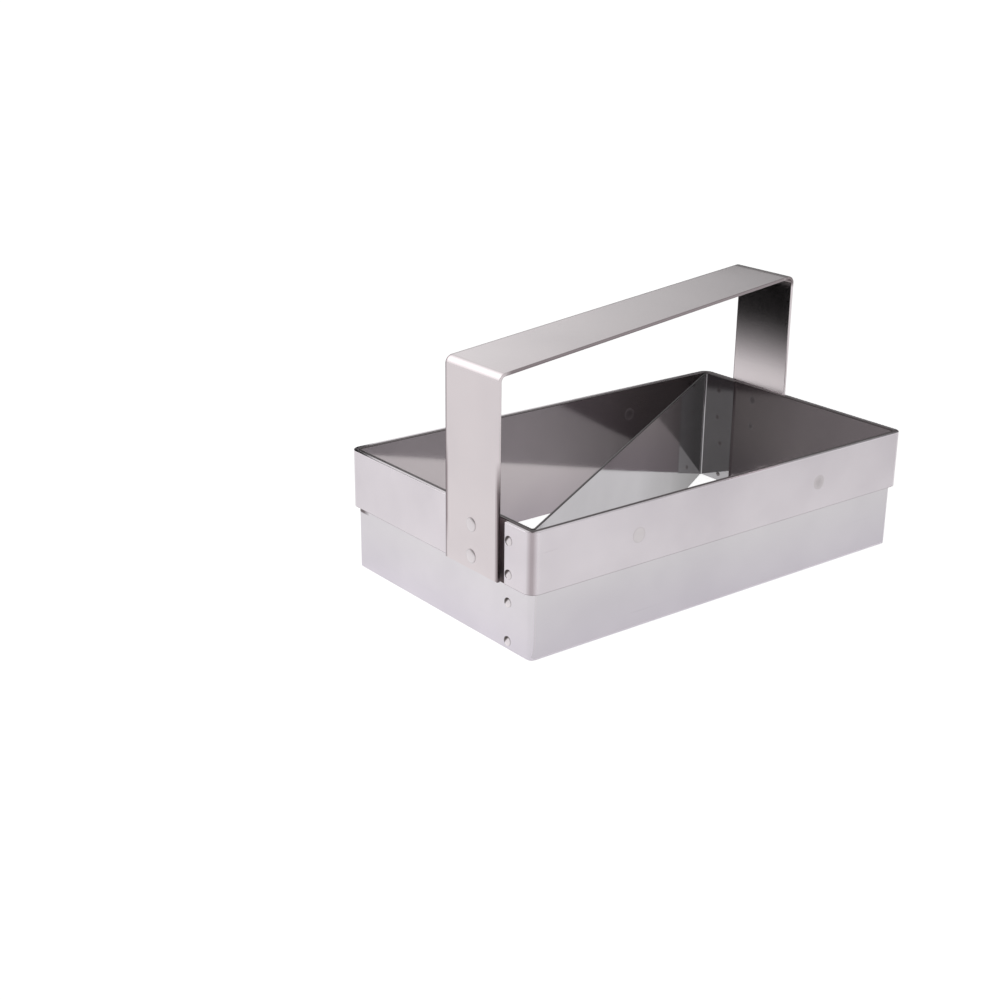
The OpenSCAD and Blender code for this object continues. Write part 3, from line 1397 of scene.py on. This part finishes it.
@dataclass
class RivetRow:
    """Rivets of one kind, each in the place of its CAD node."""

    name: str
    rivets: dict[str, Wall]
    lip: float
    dome: float
    seed: float
    rise: float = 0.5 * MM
    groove: float = 0.0
    end_rise: float = 0.02 * MM
    end_share: float = 0.62
    hammer: float = 0.02 * MM
    soil: float = 0.0
    side_dark_edge: float = 0.0
    side_dark_way: tuple[float, float] = (0.0, 0.0)
    ring: float = 0.0
    stained: dict[str, float] = field(default_factory=dict)
    # painted shade on the inner ends, as on the walls inside
    end_shade: float = 0.65

    def _points(self) -> bpy.types.Mesh:
        """Points on both faces of the sheets.

        Returns:
            A mesh of points that carry the direction they look in.
        """
        spots: list[dict[str, Any]] = []
        for node, wall in self.rivets.items():
            box = NodeBox.of(node)
            half = box.span[wall.axis] / 2
            across, up = self.side_dark_way
            head = {
                "seat": box.mid + wall.outward * (half - self.proud),
                "facing": wall.outward,
                "soil": Vector((0.0, across * wall.outward.x, up)),
                "outside": True,
                "tarnish": self.stained.get(node, 0.0),
            }
            end = {
                "seat": box.mid - wall.outward * half,
                "facing": -wall.outward,
                "soil": Vector(),
                "outside": False,
                "tarnish": self.end_shade,
            }
            spots += [head, end]
        mesh = bpy.data.meshes.new(self.name)
        mesh.from_pydata([spot["seat"] for spot in spots], [], [])
        for label in ("seat", "facing", "soil"):
            layer = mesh.attributes.new(label, "FLOAT_VECTOR", "POINT")
            layer.data.foreach_set("vector", [value for spot in spots for value in spot[label]])
        for label, kind in (("outside", "BOOLEAN"), ("tarnish", "FLOAT")):
            layer = mesh.attributes.new(label, kind, "POINT")
            layer.data.foreach_set("value", [spot[label] for spot in spots])
        return mesh

    @property
    def proud(self) -> float:
        """How far the CAD heads stand proud of their sheet."""
        return 0.0 if self.groove else self.rise

    @property
    def diameter(self) -> float:
        """The diameter of the heads, which the boxes of the nodes give."""
        node, wall = next(iter(self.rivets.items()))
        return NodeBox.of(node).span[1 - wall.axis]

    def build(self, tree: RivetTree, finish: SteelFinish) -> None:
        """The row.

        Args:
            tree: The tree that makes rivets.
            finish: Their finish.
        """
        piece = Piece.link(self.name, self._points())
        values = {
            "Head Diameter": self.diameter,
            "Head Rise": self.rise,
            "Head Lip": self.lip,
            "Dome Power": self.dome,
            "Groove": self.groove,
            "End Diameter": self.diameter * self.end_share,
            "End Rise": self.end_rise,
            "Hammer Depth": self.hammer,
            "Seed": self.seed,
            "Soil": self.soil,
            "Side Dark Edge": self.side_dark_edge,
            "Ring": self.ring,
            "Steel": finish.material(),
        }
        tree.run(piece, values)
        Piece.close(piece)
        Piece.seat(piece, finish.slot, self.rivets)


@dataclass(frozen=True)
class Card:
    """A studio card. Its levels are those of its corners, from the low left one round, as it sees them."""

    name: str
    place: Vector
    target: Vector
    size: tuple[float, float]
    levels: tuple[float, float, float, float]
    fall: float = 1.0


@dataclass
class Studio:
    """The table, the lamps, the cards and the camera."""

    camera_place: tuple[float, float, float] = (-0.42211, -0.45684, 0.25338)
    heading: float = 37.732
    pitch: float = -20.366
    roll: float = 0.554
    lens: float = 56.97
    sensor: float = 36.0
    clip: tuple[float, float] = (0.01, 100.0)
    floor_size: float = 18.0
    sky: float = 0.95
    fill: float = 0.06
    sun_heading: float = -42.0
    sun_height: float = 50.0
    sun_spread: float = 44.0
    sun_strength: float = 0.45
    sun_reach: float = 3.0
    card_level: float = 0.05
    right_level: float = 0.095

    def build_camera(self) -> None:
        """The camera at the photograph's angle."""
        ahead = self.toward(self.heading, self.pitch, 1.0)
        roll = math.radians(self.roll)
        level = ahead.cross(Vector((0.0, 0.0, 1.0))).normalized()
        upright = level.cross(ahead)
        right = level * math.cos(roll) + upright * math.sin(roll)
        up = right.cross(ahead)
        data = bpy.data.cameras.new("camera")
        data.lens = self.lens
        data.sensor_width = self.sensor
        data.clip_start, data.clip_end = self.clip
        camera = bpy.data.objects.new("camera", data)
        turn = Matrix((right, up, -ahead)).transposed().to_4x4()
        camera.matrix_world = Matrix.Translation(self.camera_place) @ turn
        bpy.context.scene.collection.objects.link(camera)
        bpy.context.scene.camera = camera

    def build_floor(self, finish: FloorFinish) -> None:
        """The pale table.

        Args:
            finish: Its finish.
        """
        mesh = Piece.flat("table", (self.floor_size, self.floor_size))
        mesh.materials.append(finish.material())
        Piece.link("table", mesh)

    def build_world(self) -> None:
        """A pale room, dimmer for the light that falls on matt things."""
        world = bpy.data.worlds.new("room")
        bpy.context.scene.world = world
        world.use_nodes = True
        world.node_tree.nodes.clear()
        bench = Bench(world.node_tree)
        seen = bench.seen()
        sockets = {"Color": (1.0, 1.0, 1.0, 1.0), "Strength": seen * self.sky + (1 - seen) * self.fill}
        room = bench.add("ShaderNodeBackground", sockets=sockets)
        bench.add("ShaderNodeOutputWorld", sockets={"Surface": room})

    @staticmethod
    def aim(place: Vector, target: Vector) -> Matrix:
        """The turn and place of a lamp or card that looks at a target.

        Args:
            place: Where it stands.
            target: What it looks at.

        Returns:
            Its matrix.
        """
        turn = (target - place).to_track_quat("-Z", "Y").to_matrix().to_4x4()
        return Matrix.Translation(place) @ turn

    @staticmethod
    def toward(heading: float, elevation: float, reach: float) -> Vector:
        """A place seen from the object.

        Args:
            heading: Degrees from +Y towards +X.
            elevation: Degrees above the table.
            reach: Distance in metres.

        Returns:
            The place.
        """
        h = math.radians(heading)
        e = math.radians(elevation)
        return Vector((math.sin(h) * math.cos(e), math.cos(h) * math.cos(e), math.sin(e))) * reach

    def cards(self) -> list[Card]:
        """The cards that give the metal its contrast.

        Returns:
            The cards.
        """
        up = Vector((0.0, 0.0, 1.0))
        flat = Vector((0.086, -0.1535, 0.0006))
        back = Vector((-0.095, 0.20, 0.137))
        return [
            Card(
                "bright_card",
                place=self.toward(heading=-18.0, elevation=30.0, reach=1.2),
                target=up * self.card_level,
                size=(1.38, 1.22),
                levels=(0.95, 1.0, 2.7, 0.95),
            ),
            Card(
                "bar_card",
                place=self.toward(heading=50.0, elevation=19.0, reach=1.6),
                target=up * self.card_level,
                size=(0.92, 0.5),
                levels=(0.0, 0.98, 0.98, 0.0),
            ),
            Card(
                "right_card",
                place=self.toward(heading=58.0, elevation=0.0, reach=0.55) + up * self.right_level,
                target=up * self.right_level,
                size=(0.42, 0.19),
                levels=(0.01, 0.01, 0.01, 0.01),
            ),
            Card(
                "front_card",
                place=flat,
                target=flat + up,
                size=(0.37, 0.193),
                levels=(0.74, 1.10, 1.0, 0.93),
            ),
            Card(
                "back_card",
                place=back,
                target=back + Wall.FRONT.outward,
                size=(0.19, 0.156),
                levels=(1.0, 1.0, -3.0, -3.0),
                fall=2.0,
            ),
        ]

    def build_card(self, card: Card) -> None:
        """Stands up a card that only reflections show.

        Args:
            card: The card.
        """
        mesh = Piece.flat(card.name, card.size)
        mesh.transform(self.aim(card.place, card.target))
        mesh.attributes.new("level", "FLOAT", "POINT").data.foreach_set("value", card.levels)
        mesh.materials.append(CardFinish(card.name, card.fall).material())
        piece = Piece.link(card.name, mesh)
        piece.visible_camera = False
        piece.visible_diffuse = False
        piece.visible_shadow = False
        piece.visible_transmission = False

    def build_lights(self) -> None:
        """The soft key light and the cards."""
        data = bpy.data.lights.new("key", "SUN")
        data.energy = self.sun_strength
        data.angle = math.radians(self.sun_spread)
        key = bpy.data.objects.new("key", data)
        place = self.toward(self.sun_heading, self.sun_height, self.sun_reach)
        key.matrix_world = self.aim(place, Vector())
        key.visible_glossy = False
        bpy.context.scene.collection.objects.link(key)
        for card in self.cards():
            self.build_card(card)


def finishes(cutter: CutterFrame, strap: StrapHandle) -> dict[str, SteelFinish]:
    """The steel finishes, by the record's slots.

    Args:
        cutter: The frame, which knows where its sheets have other tones.
        strap: The handle, which knows the same of itself.

    Returns:
        A finish for each slot.
    """
    made = [
        SteelFinish(
            name="rolled_cutting_steel",
            slot="cutting_steel",
            colour=(0.60, 0.575, 0.60),
            cloud_colour=(0.65, 0.625, 0.645),
            roughness=0.055,
            cloud_roughness=0.04,
            grain_roughness=0.05,
            zones=cutter.cutting_zones(),
            leans=cutter.wall_leans(),
        ),
        SteelFinish(
            name="satin_band_steel",
            slot="band_steel",
            colour=(0.605, 0.565, 0.597),
            cloud_colour=(0.68, 0.636, 0.668),
            roughness=0.12,
            cloud_roughness=0.06,
            grain_roughness=0.10,
            zones=cutter.band_zones(),
        ),
        SteelFinish(
            name="rolled_blade_steel",
            slot="blade_steel",
            # the blade's colour is darker than the other sheets' as painted shade for the light lost between
            # the walls
            colour=(0.415, 0.405, 0.42),
            cloud_colour=(0.445, 0.435, 0.45),
            roughness=0.05,
            cloud_roughness=0.03,
            grain_roughness=0.04,
            zones=cutter.blade_zones(),
            leans=cutter.blade_leans(),
        ),
        SteelFinish(
            name="satin_strap_steel",
            slot="strap_steel",
            colour=(0.60, 0.55, 0.565),
            cloud_colour=(0.64, 0.587, 0.60),
            roughness=0.11,
            cloud_roughness=0.03,
            grain_roughness=0.05,
            run=Run.STRIP,
            zones=strap.zones(),
            leans=strap.leans(),
        ),
        SteelFinish(
            name="ground_rivet_steel",
            slot="rivet_steel",
            colour=(0.62, 0.58, 0.595),
            cloud_colour=(0.65, 0.61, 0.625),
            roughness=0.12,
            cloud_roughness=0.05,
            grain_roughness=0.08,
            cloud_scale=240.0,
            wave_scale=500.0,
            wave_depth=0.01 * MM,
            tarnish=(0.10, 0.085, 0.08),
            leans=cutter.wall_leans(),
        ),
    ]
    return {finish.slot: finish for finish in made}


def rivet_rows() -> list[RivetRow]:
    """The three kinds of rivet.

    Returns:
        The rows, in the order they are built.
    """
    ends = {"near": Wall.NEAR_END, "far": Wall.FAR_END}
    sides = {"front": Wall.FRONT, "back": Wall.BACK}
    handle = {
        f"{end}_handle_rivet_{place}": wall for end, wall in ends.items() for place in ("lower", "upper")
    }
    tab = {
        f"{end}_tab_rivet_{place}": wall
        for end, wall in ends.items()
        for place in ("foot", "middle", "band_lower", "band_upper")
    }
    band = {f"{side}_band_rivet_{place}": wall for side, wall in sides.items() for place in ("left", "right")}
    spot = {"front_band_rivet_right": 0.22, "back_band_rivet_left": 0.15}
    return [
        RivetRow(
            "handle_rivets",
            handle,
            lip=0.10 * MM,
            dome=3.4,
            seed=2.0,
            soil=0.40,
            side_dark_edge=0.60,
            side_dark_way=(0.45, 0.90),
            ring=0.30,
        ),
        RivetRow(
            "tab_rivets",
            tab,
            lip=0.12 * MM,
            dome=2.0,
            seed=7.0,
            soil=1.0,
            side_dark_edge=0.08,
            side_dark_way=(-0.80, 0.60),
            ring=0.25,
        ),
        RivetRow(
            "band_rivets",
            band,
            lip=0.012 * MM,
            dome=3.0,
            seed=11.0,
            rise=0.02 * MM,
            groove=0.008 * MM,
            end_share=0.9,
            hammer=0.006 * MM,
            ring=0.10,
            stained=spot,
        ),
    ]


def main() -> None:
    """Builds the pieces in order and sets the stage."""
    logging.basicConfig(level=logging.INFO, format="%(name)s %(message)s")
    cutter = CutterFrame()
    strap = StrapHandle()
    steel = finishes(cutter, strap)
    cutter.build_cutting_band(steel["cutting_steel"])
    cutter.build_stiffening_band(steel["band_steel"])
    cutter.build_blade(steel["blade_steel"])
    strap.build(steel["strap_steel"])
    tree = RivetTree()
    for row in rivet_rows():
        row.build(tree, steel["rivet_steel"])
    studio = Studio()
    studio.build_camera()
    studio.build_floor(FloorFinish())
    studio.build_world()
    studio.build_lights()
    bpy.context.scene.view_settings.view_transform = "Standard"
    bpy.context.view_layer.update()


if __name__ == "__main__":
    main()
